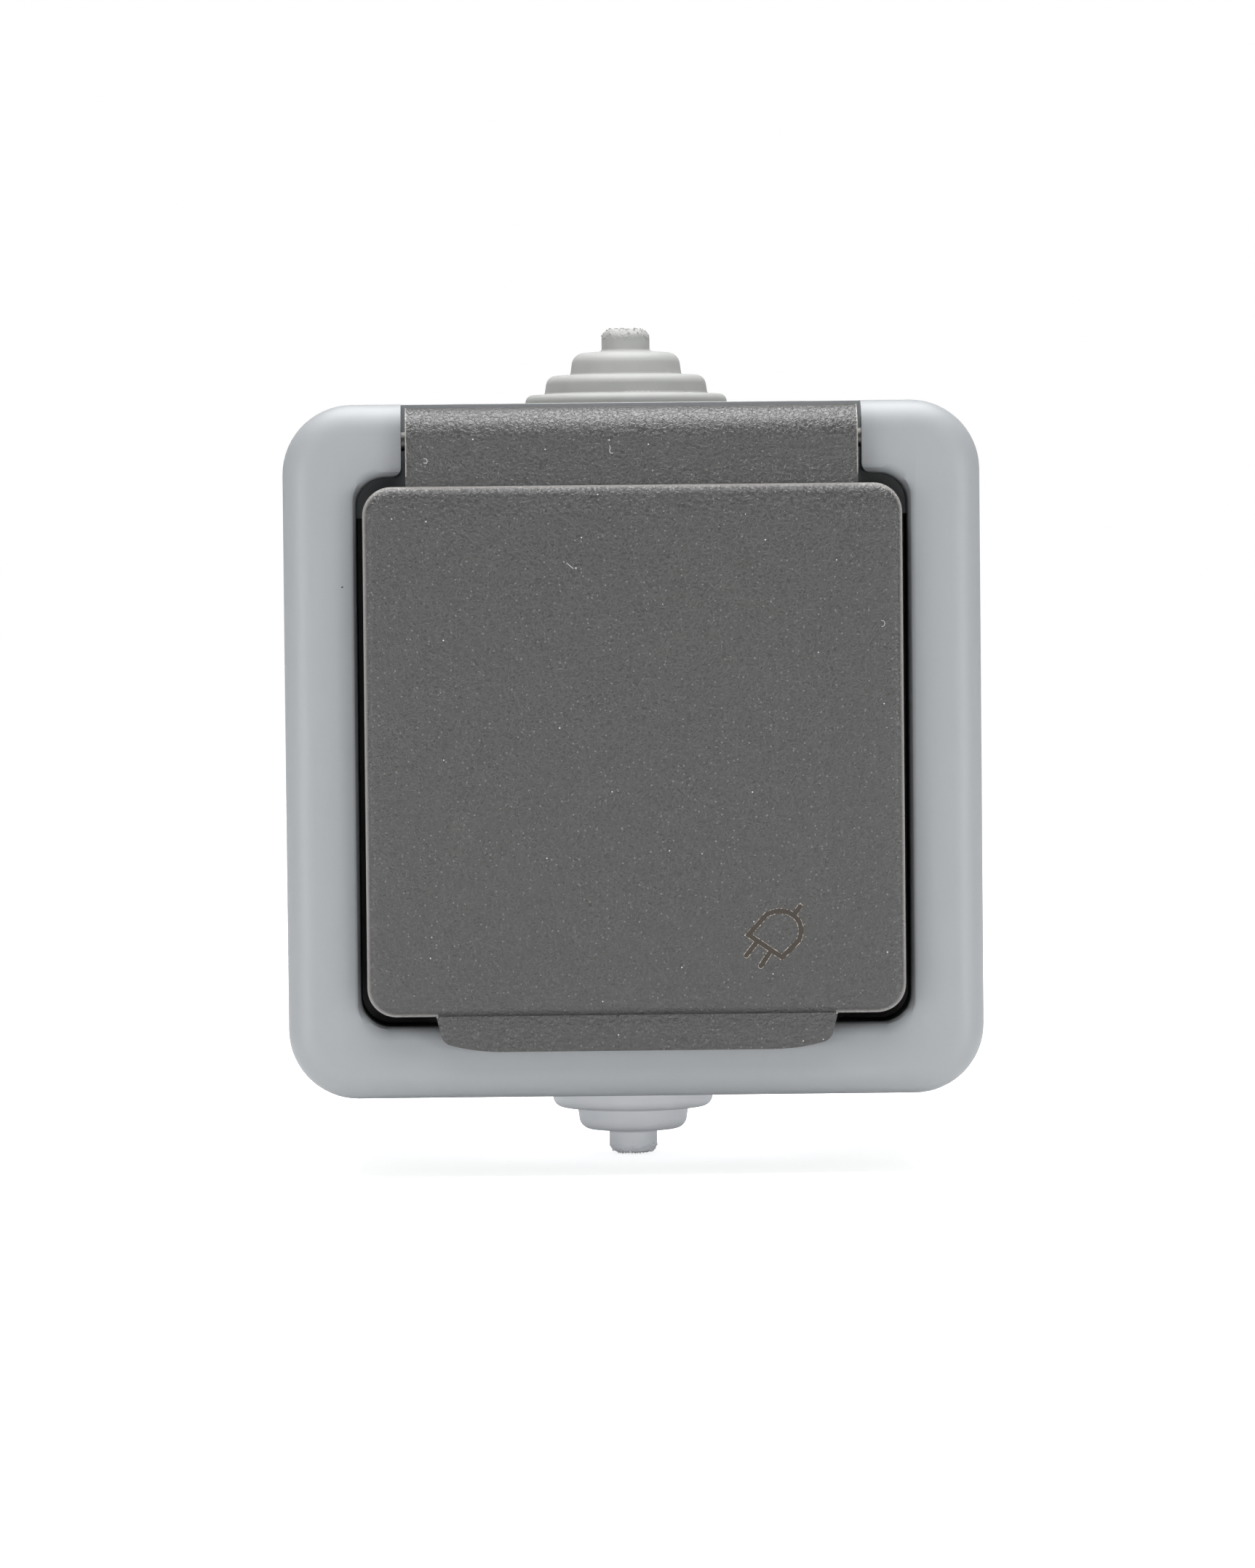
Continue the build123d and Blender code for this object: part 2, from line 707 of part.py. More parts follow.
os.makedirs("parts", exist_ok=True)
left_spring, right_spring = lid_springs()
top_grommet = cable_grommet()
half_spacing = pin_spacing / 2
nodes = {
    "back_box": back_box(),
    "cable_grommet_top": top_grommet,
    "cable_grommet_bottom": Rot(0, 180, 0) * top_grommet,
    "frame_gasket": frame_gasket(),
    "cover_frame": cover_frame(),
    "lid": lid(),
    "lid_gasket": lid_gasket(),
    "hinge_pin": hinge_pin(),
    "lid_spring_left": left_spring,
    "lid_spring_right": right_spring,
    "socket_face": socket_face(),
    "face_screw": screw(0, 0, well_bottom, face_screw_length),
    "contact_base": contact_base(),
    "live_contact": pin_contact(-half_spacing),
    "neutral_contact": pin_contact(half_spacing),
    "earth_strap": earth_strap(),
    "live_clamp_plate": clamp_plate(-half_spacing, -terminal_drop, contact_back + contact_thickness),
    "neutral_clamp_plate": clamp_plate(half_spacing, -terminal_drop, contact_back + contact_thickness),
    "earth_clamp_plate": clamp_plate(earth_terminal_x, earth_terminal_z, strap_back + strap_thickness),
    "live_terminal_screw": screw(-half_spacing, -terminal_drop, clamp_front, terminal_screw_length),
    "neutral_terminal_screw": screw(half_spacing, -terminal_drop, clamp_front, terminal_screw_length),
    "earth_terminal_screw": screw(
        earth_terminal_x, earth_terminal_z, earth_clamp_front, terminal_screw_length
    ),
    "base_screw_left": screw(-base_screw_offset, 0, base_screw_seat, base_screw_length),
    "base_screw_right": screw(base_screw_offset, 0, base_screw_seat, base_screw_length),
}
corner_names = {(-1, -1): "bottom_left", (-1, 1): "top_left", (1, -1): "bottom_right", (1, 1): "top_right"}
for side, end in corners:
    name = "frame_screw_" + corner_names[(side, end)]
    nodes[name] = screw(side * frame_screw_x, end * frame_screw_z, floor_front, frame_screw_length)
for name, shape in nodes.items():
    export_step(shape, "parts/" + name + ".step")
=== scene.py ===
import math

import bmesh
import bpy
from mathutils import Matrix, Vector


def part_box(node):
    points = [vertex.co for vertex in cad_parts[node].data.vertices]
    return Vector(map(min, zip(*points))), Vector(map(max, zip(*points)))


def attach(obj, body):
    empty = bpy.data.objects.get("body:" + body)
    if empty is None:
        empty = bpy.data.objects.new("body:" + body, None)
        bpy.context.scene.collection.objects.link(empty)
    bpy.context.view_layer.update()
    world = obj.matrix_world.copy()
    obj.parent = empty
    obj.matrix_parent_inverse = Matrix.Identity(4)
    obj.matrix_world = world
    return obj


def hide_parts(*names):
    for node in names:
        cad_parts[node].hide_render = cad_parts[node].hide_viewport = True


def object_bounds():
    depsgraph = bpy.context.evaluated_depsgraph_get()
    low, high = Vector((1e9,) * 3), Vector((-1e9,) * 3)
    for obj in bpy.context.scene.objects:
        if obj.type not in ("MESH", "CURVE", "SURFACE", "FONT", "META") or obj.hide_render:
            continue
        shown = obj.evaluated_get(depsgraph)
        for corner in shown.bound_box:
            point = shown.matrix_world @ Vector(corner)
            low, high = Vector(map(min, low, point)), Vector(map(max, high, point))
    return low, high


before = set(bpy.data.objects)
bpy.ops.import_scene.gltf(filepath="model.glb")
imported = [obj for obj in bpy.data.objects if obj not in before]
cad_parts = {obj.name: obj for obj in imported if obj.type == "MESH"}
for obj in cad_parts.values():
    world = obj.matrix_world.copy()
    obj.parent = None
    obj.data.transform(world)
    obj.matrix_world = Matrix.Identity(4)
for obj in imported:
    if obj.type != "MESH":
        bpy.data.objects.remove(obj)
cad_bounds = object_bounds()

MM = 0.001

# Back box
# A deep tray of light grey ABS, injection moulded in one shot and screwed to the wall through two slots.
# The mould was blasted with fine grit, so the skin is matt and even, and its edges are slightly round.
box_edge = 0.25 * MM
rounding_steps = 3
joined_within = 0.0005 * MM
flat_within = math.radians(0.4)
rounded_above = math.radians(32)
sharp_above = math.radians(38)


def linear(hex_colour):
    """An sRGB hex colour as the linear colour that a shader takes."""
    channels = [int(hex_colour[place:place + 2], 16) / 255 for place in (1, 3, 5)]
    return [c / 12.92 if c <= 0.04045 else ((c + 0.055) / 1.055) ** 2.4 for c in channels] + [1.0]


def add(tree, kind, inputs=None, **settings):
    """Adds a node with its settings; an input is a value, a hex colour, a socket or a node's first output."""
    made = tree.nodes.new(kind)
    for name, value in settings.items():
        setattr(made, name, value)
    for name, value in (inputs or {}).items():
        if isinstance(value, bpy.types.Node):
            value = next(output for output in value.outputs if output.enabled)
        if isinstance(value, bpy.types.NodeSocket):
            tree.links.new(value, made.inputs[name])
        elif isinstance(value, str):
            made.inputs[name].default_value = linear(value)
        else:
            made.inputs[name].default_value = value
    return made


def new_tree(name):
    """A material with an empty node tree, and that tree."""
    made = bpy.data.materials.new(name)
    made.use_nodes = True
    made.node_tree.nodes.clear()
    return made, made.node_tree


def per_metre(size):
    """The scale of a texture whose features are about this size in metres."""
    return 1 / size


def moulded_grey_abs(name, light, dark, painted_shade=None):
    """ABS from a finely blasted mould: a satin skin, faint cloudy colour and grain of about 0.12 mm."""
    made, tree = new_tree(name)
    place = add(tree, "ShaderNodeTexCoord").outputs["Object"]
    cloud = add(tree, "ShaderNodeTexNoise", {"Vector": place, "Scale": per_metre(22 * MM), "Detail": 2.0})
    tint = add(tree, "ShaderNodeMix", {"Factor": cloud, "A": light, "B": dark}, data_type="RGBA")
    # An optional painted shade darkens part of the colour.
    if painted_shade:
        tint = painted_shade(tree, place, tint)
    grain = add(tree, "ShaderNodeTexNoise", {"Vector": place, "Scale": per_metre(0.12 * MM), "Detail": 3.0})
    bump = add(tree, "ShaderNodeBump", {"Height": grain, "Strength": 0.35, "Distance": 0.006 * MM})
    gloss = add(tree, "ShaderNodeMapRange", {"Value": grain, "To Min": 0.42, "To Max": 0.54})
    skin = add(
        tree,
        "ShaderNodeBsdfPrincipled",
        {"Base Color": tint, "Roughness": gloss, "IOR": 1.53, "Normal": bump},
    )
    add(tree, "ShaderNodeOutputMaterial", {"Surface": skin})
    return made


def put_in_scene(name, data):
    """A new object in the scene, with its mesh or other data."""
    made = bpy.data.objects.new(name, data)
    bpy.context.scene.collection.objects.link(made)
    return made


def taken_from(rough):
    """The mesh that an object's modifiers make; the object itself goes."""
    seen = rough.evaluated_get(bpy.context.evaluated_depsgraph_get())
    final = bpy.data.meshes.new_from_object(seen)
    bpy.data.objects.remove(rough)
    return final


def eased_copy(node, edge):
    """The node's own form with its mesh joined up and every hard edge rounded, as a mould leaves it."""
    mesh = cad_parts[node].data.copy()
    work = bmesh.new()
    work.from_mesh(mesh)
    bmesh.ops.remove_doubles(work, verts=work.verts, dist=joined_within)
    bmesh.ops.dissolve_limit(work, angle_limit=flat_within, verts=work.verts, edges=work.edges)
    work.to_mesh(mesh)
    work.free()
    rough = put_in_scene(node + "_rough", mesh)
    bevel = rough.modifiers.new("Rounded edges", "BEVEL")
    bevel.width = edge
    bevel.segments = rounding_steps
    bevel.limit_method = "ANGLE"
    bevel.angle_limit = rounded_above
    bevel.use_clamp_overlap = True
    bevel.miter_outer = "MITER_ARC"
    final = taken_from(rough)
    final.shade_smooth()
    final.set_sharp_from_angle(angle=sharp_above)
    piece = put_in_scene(node + "_eased", final)
    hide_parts(node)
    return piece


def dress(piece, finish, body="housing"):
    """Gives a piece its finish in its one material slot, and the body that it moves with."""
    if piece.data.materials:
        piece.data.materials.clear()
    piece.data.materials.append(finish)
    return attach(piece, body)


box_abs = moulded_grey_abs("Moulded grey ABS, box", "#909396", "#8B8E92")
dress(eased_copy("back_box", box_edge), box_abs)

# Cable membranes
# Stepped seals of light grey thermoplastic rubber, pressed into the box's cut-outs above and below.
# Rubber from a satin mould: no gloss, soft steps and a chalky bloom; its tip is torn where the mould let go.
membrane_edge = 0.12 * MM
torn_from = 42.0 * MM
torn_fade = 0.4 * MM
crumb_radius = 0.13 * MM
crumbs_per_square_metre = 3.2e6
crumb_smallest = (0.4, 0.4, 0.3)
crumb_largest = (1.5, 1.2, 0.8)
crumb_turn = (6.28, 6.28, 6.28)
crumb_seed = 11


def membrane_rubber(name, base, bloom):
    """Soft rubber: rough skin, a patchy bloom, a fine nap of about 0.2 mm and a ragged tip."""
    made, tree = new_tree(name)
    place = add(tree, "ShaderNodeTexCoord").outputs["Object"]
    cloud = add(tree, "ShaderNodeTexNoise", {"Vector": place, "Scale": per_metre(3 * MM), "Detail": 4.0})
    tint = add(tree, "ShaderNodeMix", {"Factor": cloud, "A": base, "B": bloom}, data_type="RGBA")
    nap = add(tree, "ShaderNodeTexNoise", {"Vector": place, "Scale": per_metre(0.2 * MM), "Detail": 3.0})
    bump = add(tree, "ShaderNodeBump", {"Height": nap, "Strength": 0.5, "Distance": 0.012 * MM})
    height = add(tree, "ShaderNodeSeparateXYZ", {"Vector": place}).outputs["Z"]
    from_middle = add(tree, "ShaderNodeMath", {0: height}, operation="ABSOLUTE")
    torn = add(
        tree,
        "ShaderNodeMapRange",
        {"Value": from_middle, "From Min": torn_from - torn_fade, "From Max": torn_from},
    )
    tears = add(tree, "ShaderNodeTexNoise", {"Vector": place, "Scale": per_metre(0.45 * MM), "Detail": 5.0})
    ragged = add(
        tree,
        "ShaderNodeBump",
        {"Height": tears, "Strength": torn, "Distance": 0.15 * MM, "Normal": bump},
    )
    skin = add(
        tree,
        "ShaderNodeBsdfPrincipled",
        {"Base Color": tint, "Roughness": 0.6, "IOR": 1.48, "Normal": ragged},
    )
    add(tree, "ShaderNodeOutputMaterial", {"Surface": skin})
    return made


def new_geometry(name, sockets):
    """An empty geometry tree with named inputs and one geometry output."""
    tree = bpy.data.node_groups.new(name, "GeometryNodeTree")
    for label, kind in sockets.items():
        tree.interface.new_socket(label, in_out="INPUT", socket_type=kind)
    tree.interface.new_socket("Geometry", in_out="OUTPUT", socket_type="NodeSocketGeometry")
    return tree


def finish_geometry(tree, made, finish):
    """Ends a geometry tree: instances made real, then the material set."""
    real = add(tree, "GeometryNodeRealizeInstances", {"Geometry": made})
    painted = add(tree, "GeometryNodeSetMaterial", {"Geometry": real, "Material": finish})
    add(tree, "NodeGroupOutput", {"Geometry": painted})


def from_nodes(name, mesh, tree, values):
    """A plain mesh object made by a geometry tree from a mesh and named values."""
    rough = put_in_scene(name + "_rough", mesh)
    modifier = rough.modifiers.new("Nodes", "NODES")
    modifier.node_group = tree
    for socket in tree.interface.items_tree:
        if socket.in_out == "INPUT" and socket.name in values:
            modifier[socket.identifier] = values[socket.name]
    return put_in_scene(name, taken_from(rough))


def crumb_tree():
    """Geometry nodes that leave crumbs of rubber where a membrane's tip was torn from the mould."""
    tree = new_geometry(
        "Torn crumbs",
        {
            "Geometry": "NodeSocketGeometry",
            "Tip start": "NodeSocketFloat",
            "Density": "NodeSocketFloat",
            "Crumb radius": "NodeSocketFloat",
            "Finish": "NodeSocketMaterial",
        },
    )
    given = add(tree, "NodeGroupInput").outputs
    place = add(tree, "GeometryNodeInputPosition")
    height = add(tree, "ShaderNodeSeparateXYZ", {"Vector": place}).outputs["Z"]
    from_middle = add(tree, "ShaderNodeMath", {0: height}, operation="ABSOLUTE")
    at_tip = add(
        tree, "FunctionNodeCompare", {0: from_middle, 1: given["Tip start"]}, operation="GREATER_THAN"
    )
    scatter = add(
        tree,
        "GeometryNodeDistributePointsOnFaces",
        {
            "Mesh": given["Geometry"],
            "Selection": at_tip,
            "Density": given["Density"],
            "Seed": crumb_seed,
        },
    )
    ball = add(tree, "GeometryNodeMeshIcoSphere", {"Radius": given["Crumb radius"], "Subdivisions": 2})
    turns = add(
        tree, "FunctionNodeRandomValue", {1: crumb_turn, "Seed": crumb_seed}, data_type="FLOAT_VECTOR"
    )
    sizes = add(
        tree,
        "FunctionNodeRandomValue",
        {0: crumb_smallest, 1: crumb_largest, "Seed": crumb_seed + 1},
        data_type="FLOAT_VECTOR",
    )
    crumbs = add(
        tree,
        "GeometryNodeInstanceOnPoints",
        {"Points": scatter, "Instance": ball, "Rotation": turns, "Scale": sizes},
    )
    finish_geometry(tree, crumbs, given["Finish"])
    return tree


crumbs_nodes = crumb_tree()
# The bottom membrane's rubber is painted far lighter than the top's, to make up for the shade under the
# object.
membranes = (
    ("cable_grommet_top", membrane_rubber("Grey membrane rubber, top", "#929391", "#9D9E9C")),
    ("cable_grommet_bottom", membrane_rubber("Grey membrane rubber, bottom, painted lighter", "#DADDE2", "#E4E6E9")),
)
for grommet, rubber in membranes:
    membrane = dress(eased_copy(grommet, membrane_edge), rubber)
    crumbs = from_nodes(
        grommet + "_crumbs",
        membrane.data,
        crumbs_nodes,
        {
            "Tip start": torn_from,
            "Density": crumbs_per_square_metre,
            "Crumb radius": crumb_radius,
            "Finish": rubber,
        },
    )
    dress(crumbs, rubber)

# Contact base
# The insulating block of white urea resin, compression moulded; the metal parts are screwed to it.
# Its contacts are stamped from brass strip, the earth strap from tinned steel strip.


def speckled(tree, place, under, cell, share, radius, tone, strength):
    """Round specks over a colour: a share of the cells holds one, its radius a part of the cell's size."""
    cells = add(tree, "ShaderNodeTexVoronoi", {"Vector": place, "Scale": per_metre(cell)}).outputs
    pick = add(tree, "ShaderNodeSeparateColor", {"Color": cells["Color"]}).outputs["Red"]
    chosen = add(tree, "ShaderNodeMath", {0: pick, 1: 1 - share}, operation="GREATER_THAN")
    close = add(tree, "ShaderNodeMath", {0: cells["Distance"], 1: radius}, operation="LESS_THAN")
    spot = add(tree, "ShaderNodeMath", {0: chosen, 1: close}, operation="MULTIPLY")
    amount = add(tree, "ShaderNodeMath", {0: spot, 1: strength}, operation="MULTIPLY")
    return add(tree, "ShaderNodeMix", {"Factor": amount, "A": under, "B": tone}, data_type="RGBA")


def urea_resin():
    """Compression-moulded white resin: an even gloss with faint flow clouds and sparse dark specks."""
    made, tree = new_tree("White urea resin")
    place = add(tree, "ShaderNodeTexCoord").outputs["Object"]
    flow = add(
        tree,
        "ShaderNodeTexNoise",
        {"Vector": place, "Scale": per_metre(6 * MM), "Detail": 3.0, "Distortion": 1.0},
    )
    tint = add(tree, "ShaderNodeMix", {"Factor": flow, "A": "#E2DFD4", "B": "#D6D2C4"}, data_type="RGBA")
    colour = speckled(tree, place, tint, cell=2.2 * MM, share=0.25, radius=0.05, tone="#8D8575", strength=0.7)
    waves = add(tree, "ShaderNodeTexNoise", {"Vector": place, "Scale": per_metre(0.5 * MM), "Detail": 2.0})
    bump = add(tree, "ShaderNodeBump", {"Height": waves, "Strength": 0.3, "Distance": 0.01 * MM})
    skin = add(
        tree,
        "ShaderNodeBsdfPrincipled",
        {"Base Color": colour, "Roughness": 0.33, "IOR": 1.56, "Normal": bump},
    )
    add(tree, "ShaderNodeOutputMaterial", {"Surface": skin})
    return made


def rolled_strip(name, bright, tarnish, roughness):
    """Metal stamped from rolled strip: fine rolling lines of about 0.1 mm and patchy tarnish."""
    made, tree = new_tree(name)
    place = add(tree, "ShaderNodeTexCoord").outputs["Object"]
    patches = add(tree, "ShaderNodeTexNoise", {"Vector": place, "Scale": per_metre(2.5 * MM), "Detail": 4.0})
    tint = add(tree, "ShaderNodeMix", {"Factor": patches, "A": bright, "B": tarnish}, data_type="RGBA")
    along = add(tree, "ShaderNodeMapping", {"Vector": place, "Scale": (1.0, 1.0, 0.04)})
    lines = add(tree, "ShaderNodeTexNoise", {"Vector": along, "Scale": per_metre(0.1 * MM), "Detail": 2.0})
    bump = add(tree, "ShaderNodeBump", {"Height": lines, "Strength": 0.3, "Distance": 0.004 * MM})
    skin = add(
        tree,
        "ShaderNodeBsdfPrincipled",
        {"Base Color": tint, "Metallic": 1.0, "Roughness": roughness, "Normal": bump},
    )
    add(tree, "ShaderNodeOutputMaterial", {"Surface": skin})
    return made


def finish_node(name, finish):
    """Gives a CAD node that stays as it is its material."""
    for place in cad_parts[name].material_slots:
        place.material = finish


brass = rolled_strip("Stamped brass strip", "#D8B56A", "#B08A48", 0.3)
brass_pieces = (
    "live_contact",
    "neutral_contact",
    "live_clamp_plate",
    "neutral_clamp_plate",
    "earth_clamp_plate",
)
finish_node("contact_base", urea_resin())
finish_node("earth_strap", rolled_strip("Tinned steel strip", "#C9C8C2", "#A5A49C", 0.34))
for name in brass_pieces:
    finish_node(name, brass)

# Screws
# Pan heads with a cross slot, of zinc-plated steel.
# Three hold the wires, two the contact base, one the socket face and four the cover frame.


def zinc_plate():
    """Zinc on steel, passivated: bluish grey with a straw-coloured cast in patches and fine wear."""
    made, tree = new_tree("Zinc-plated steel")
    place = add(tree, "ShaderNodeTexCoord").outputs["Object"]
    patches = add(tree, "ShaderNodeTexNoise", {"Vector": place, "Scale": per_metre(1.6 * MM), "Detail": 3.0})
    tint = add(tree, "ShaderNodeMix", {"Factor": patches, "A": "#BFC4CA", "B": "#C4BC9C"}, data_type="RGBA")
    wear_and_highlight = add(tree, "ShaderNodeTexNoise", {"Vector": place, "Scale": per_metre(0.15 * MM), "Detail": 3.0})
    bump = add(tree, "ShaderNodeBump", {"Height": wear_and_highlight, "Strength": 0.4, "Distance": 0.006 * MM})
    skin = add(
        tree,
        "ShaderNodeBsdfPrincipled",
        {"Base Color": tint, "Metallic": 1.0, "Roughness": 0.32, "Normal": bump},
    )
    add(tree, "ShaderNodeOutputMaterial", {"Surface": skin})
    return made


zinc = zinc_plate()
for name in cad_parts:
    if "screw" in name:
        finish_node(name, zinc)

# Seals
# Two rings of black rubber: one between the box and the frame, one in the lid's groove.
# Both are pressed in dry, and show only when the lid is open or the frame is off.


def seal_rubber():
    """Black rubber: dull, with a greyish bloom and a nap of about 0.15 mm."""
    made, tree = new_tree("Black seal rubber")
    place = add(tree, "ShaderNodeTexCoord").outputs["Object"]
    bloom = add(tree, "ShaderNodeTexNoise", {"Vector": place, "Scale": per_metre(4 * MM), "Detail": 4.0})
    tint = add(tree, "ShaderNodeMix", {"Factor": bloom, "A": "#1B1B1C", "B": "#2B2B2A"}, data_type="RGBA")
    nap = add(tree, "ShaderNodeTexNoise", {"Vector": place, "Scale": per_metre(0.15 * MM), "Detail": 3.0})
    bump = add(tree, "ShaderNodeBump", {"Height": nap, "Strength": 0.5, "Distance": 0.01 * MM})
    skin = add(
        tree,
        "ShaderNodeBsdfPrincipled",
        {"Base Color": tint, "Roughness": 0.66, "IOR": 1.5, "Normal": bump},
    )
    add(tree, "ShaderNodeOutputMaterial", {"Surface": skin})
    return made


black_rubber = seal_rubber()
finish_node("frame_gasket", black_rubber)
finish_node("lid_gasket", black_rubber)

# Socket face
# The plug well, moulded in the same light grey ABS as the housing.
# One screw in its middle holds it to the contact base.
face_edge = 0.15 * MM
dress(eased_copy("socket_face", face_edge), box_abs)

# Cover frame
# The front frame, moulded in the same ABS as the box and held by four screws under the lid.
# Its border is a hollow ridge with soft shoulders, and the notch at its top holds the lid's hinge.
# The gutter round the lid's recess is darkened with painted shade, darker the deeper it goes.
frame_edge = 0.35 * MM
frame_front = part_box("cover_frame")[0].y
gutter_lip = frame_front + 1.2 * MM
gutter_inner = 25.7 * MM
gutter_outer = 27.9 * MM
gutter_top = 23.5 * MM
shade_fade = 2 * MM
shade_share = 0.94


def between(tree, value, low, high):
    """1 where a value lies between two others, and 0 elsewhere."""
    above = add(tree, "ShaderNodeMath", {0: value, 1: low}, operation="GREATER_THAN")
    under = add(tree, "ShaderNodeMath", {0: value, 1: high}, operation="LESS_THAN")
    return add(tree, "ShaderNodeMath", {0: above, 1: under}, operation="MULTIPLY")


def gutter_painted_shade(tree, place, unshaded):
    """Near-black painted shade on a colour, at the bottom and on the walls of the gutter round the lid's
    recess, darker with depth.
    """
    parts = add(tree, "ShaderNodeSeparateXYZ", {"Vector": place}).outputs
    across = add(tree, "ShaderNodeMath", {0: parts["X"]}, operation="ABSOLUTE")
    beside = between(tree, across, gutter_inner, gutter_outer)
    beside_height = between(tree, parts["Z"], -gutter_outer, gutter_top)
    at_sides = add(tree, "ShaderNodeMath", {0: beside, 1: beside_height}, operation="MULTIPLY")
    below_width = between(tree, across, -MM, gutter_outer)
    below = between(tree, parts["Z"], -gutter_outer, -gutter_inner)
    at_bottom = add(tree, "ShaderNodeMath", {0: below_width, 1: below}, operation="MULTIPLY")
    in_gutter = add(tree, "ShaderNodeMath", {0: at_sides, 1: at_bottom}, operation="MAXIMUM")
    deep = add(
        tree,
        "ShaderNodeMapRange",
        {
            "Value": parts["Y"],
            "From Min": gutter_lip,
            "From Max": gutter_lip + shade_fade,
            "To Max": shade_share,
        },
    )
    amount = add(tree, "ShaderNodeMath", {0: in_gutter, 1: deep}, operation="MULTIPLY")
    return add(tree, "ShaderNodeMix", {"Factor": amount, "A": unshaded, "B": "#1F1F1E"}, data_type="RGBA")


# The frame's colour gets painted shade in the gutter round the lid's recess.
frame_abs = moulded_grey_abs("Moulded grey ABS, frame", "#909396", "#8D9093", painted_shade=gutter_painted_shade)
dress(eased_copy("cover_frame", frame_edge), frame_abs)

# Hinge pin and springs
# A straight steel pin joins lid and frame; two close-wound springs of drawn wire sit on it.
# Each spring has a bent leg on the recess floor and a straight one behind the flap that turns with the lid.
wire_radius = 0.28 * MM
coil_turns = 10.0
coil_sides = 20
wire_sides = 8
leg_sides = 10
leg_start = 0.3 * MM
leg_knee = (0.45 * MM, 3.5 * MM)


def drawn_wire():
    """Drawn spring wire: darkened steel with die lines of about 0.06 mm along its length."""
    made, tree = new_tree("Drawn steel wire")
    place = add(tree, "ShaderNodeTexCoord").outputs["Object"]
    patches = add(tree, "ShaderNodeTexNoise", {"Vector": place, "Scale": per_metre(2 * MM), "Detail": 3.0})
    tint = add(tree, "ShaderNodeMix", {"Factor": patches, "A": "#6B6A68", "B": "#4F4E4C"}, data_type="RGBA")
    along = add(tree, "ShaderNodeMapping", {"Vector": place, "Scale": (0.05, 1.0, 1.0)})
    lines = add(tree, "ShaderNodeTexNoise", {"Vector": along, "Scale": per_metre(0.06 * MM)})
    bump = add(tree, "ShaderNodeBump", {"Height": lines, "Strength": 0.4, "Distance": 0.004 * MM})
    skin = add(
        tree,
        "ShaderNodeBsdfPrincipled",
        {"Base Color": tint, "Metallic": 1.0, "Roughness": 0.38, "Normal": bump},
    )
    add(tree, "ShaderNodeOutputMaterial", {"Surface": skin})
    return made


def coil_tree():
    """Geometry nodes for a close-wound coil along X, with both its ends capped."""
    tree = new_geometry(
        "Wound coil",
        {
            "Turns": "NodeSocketFloat",
            "Coil radius": "NodeSocketFloat",
            "Length": "NodeSocketFloat",
            "Wire radius": "NodeSocketFloat",
            "Finish": "NodeSocketMaterial",
        },
    )
    given = add(tree, "NodeGroupInput").outputs
    spiral = add(
        tree,
        "GeometryNodeCurveSpiral",
        {
            "Resolution": coil_sides,
            "Rotations": given["Turns"],
            "Start Radius": given["Coil radius"],
            "End Radius": given["Coil radius"],
            "Height": given["Length"],
        },
    )
    wire = add(
        tree,
        "GeometryNodeCurvePrimitiveCircle",
        {"Resolution": wire_sides, "Radius": given["Wire radius"]},
        mode="RADIUS",
    )
    tube = add(
        tree, "GeometryNodeCurveToMesh", {"Curve": spiral, "Profile Curve": wire, "Fill Caps": True}
    )
    laid = add(tree, "GeometryNodeTransform", {"Geometry": tube, "Rotation": (0, math.pi / 2, 0)})
    smooth = add(tree, "GeometryNodeSetShadeSmooth", {"Geometry": laid})
    finish_geometry(tree, smooth, given["Finish"])
    return tree


def add_wire(mesh, points):
    """Adds a wire to a mesh, in straight capped lengths from point to point."""
    work = bmesh.new()
    work.from_mesh(mesh)
    for start, end in zip(points, points[1:]):
        reach = end - start
        turn = reach.to_track_quat("Z", "Y").to_matrix().to_4x4()
        bmesh.ops.create_cone(
            work,
            cap_ends=True,
            segments=leg_sides,
            radius1=wire_radius,
            radius2=wire_radius,
            depth=reach.length,
            matrix=Matrix.Translation((start + end) / 2) @ turn,
        )
    work.to_mesh(mesh)
    work.free()
    mesh.shade_smooth()


steel_wire = drawn_wire()
finish_node("hinge_pin", steel_wire)
coil_nodes = coil_tree()
pin_low, pin_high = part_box("hinge_pin")
pin_axis = (pin_low + pin_high) / 2
for spring, outward in (("lid_spring_left", -1), ("lid_spring_right", 1)):
    low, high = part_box(spring)
    coil_radius = high.z - pin_axis.z - wire_radius
    length = high.x - low.x - 2 * wire_radius
    coil = from_nodes(
        spring + "_coil",
        bpy.data.meshes.new("Empty"),
        coil_nodes,
        {
            "Turns": coil_turns,
            "Coil radius": coil_radius,
            "Length": length,
            "Wire radius": wire_radius,
            "Finish": steel_wire,
        },
    )
    coil.data.transform(Matrix.Translation((low.x + wire_radius, pin_axis.y, pin_axis.z)))
    middle_x = (low.x + high.x) / 2
    frame_x = middle_x + outward * length / 2
    below = Vector((frame_x, pin_axis.y + leg_start, pin_axis.z - coil_radius))
    knee = Vector((frame_x, pin_axis.y + leg_knee[0], pin_axis.z - leg_knee[1]))
    foot = Vector((frame_x, high.y - wire_radius, low.z + wire_radius))
    add_wire(coil.data, (below, knee, foot))
    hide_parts(spring)
    dress(coil, steel_wire)
    lid_x = middle_x - outward * length / 2
    ahead = Vector((lid_x, pin_axis.y - coil_radius, pin_axis.z))
    toe = Vector((lid_x, low.y + wire_radius, low.z + wire_radius))
    leg = put_in_scene(spring + "_lid_leg", bpy.data.meshes.new(spring + "_lid_leg"))
    add_wire(leg.data, (ahead, toe))
    dress(leg, steel_wire, "lid")

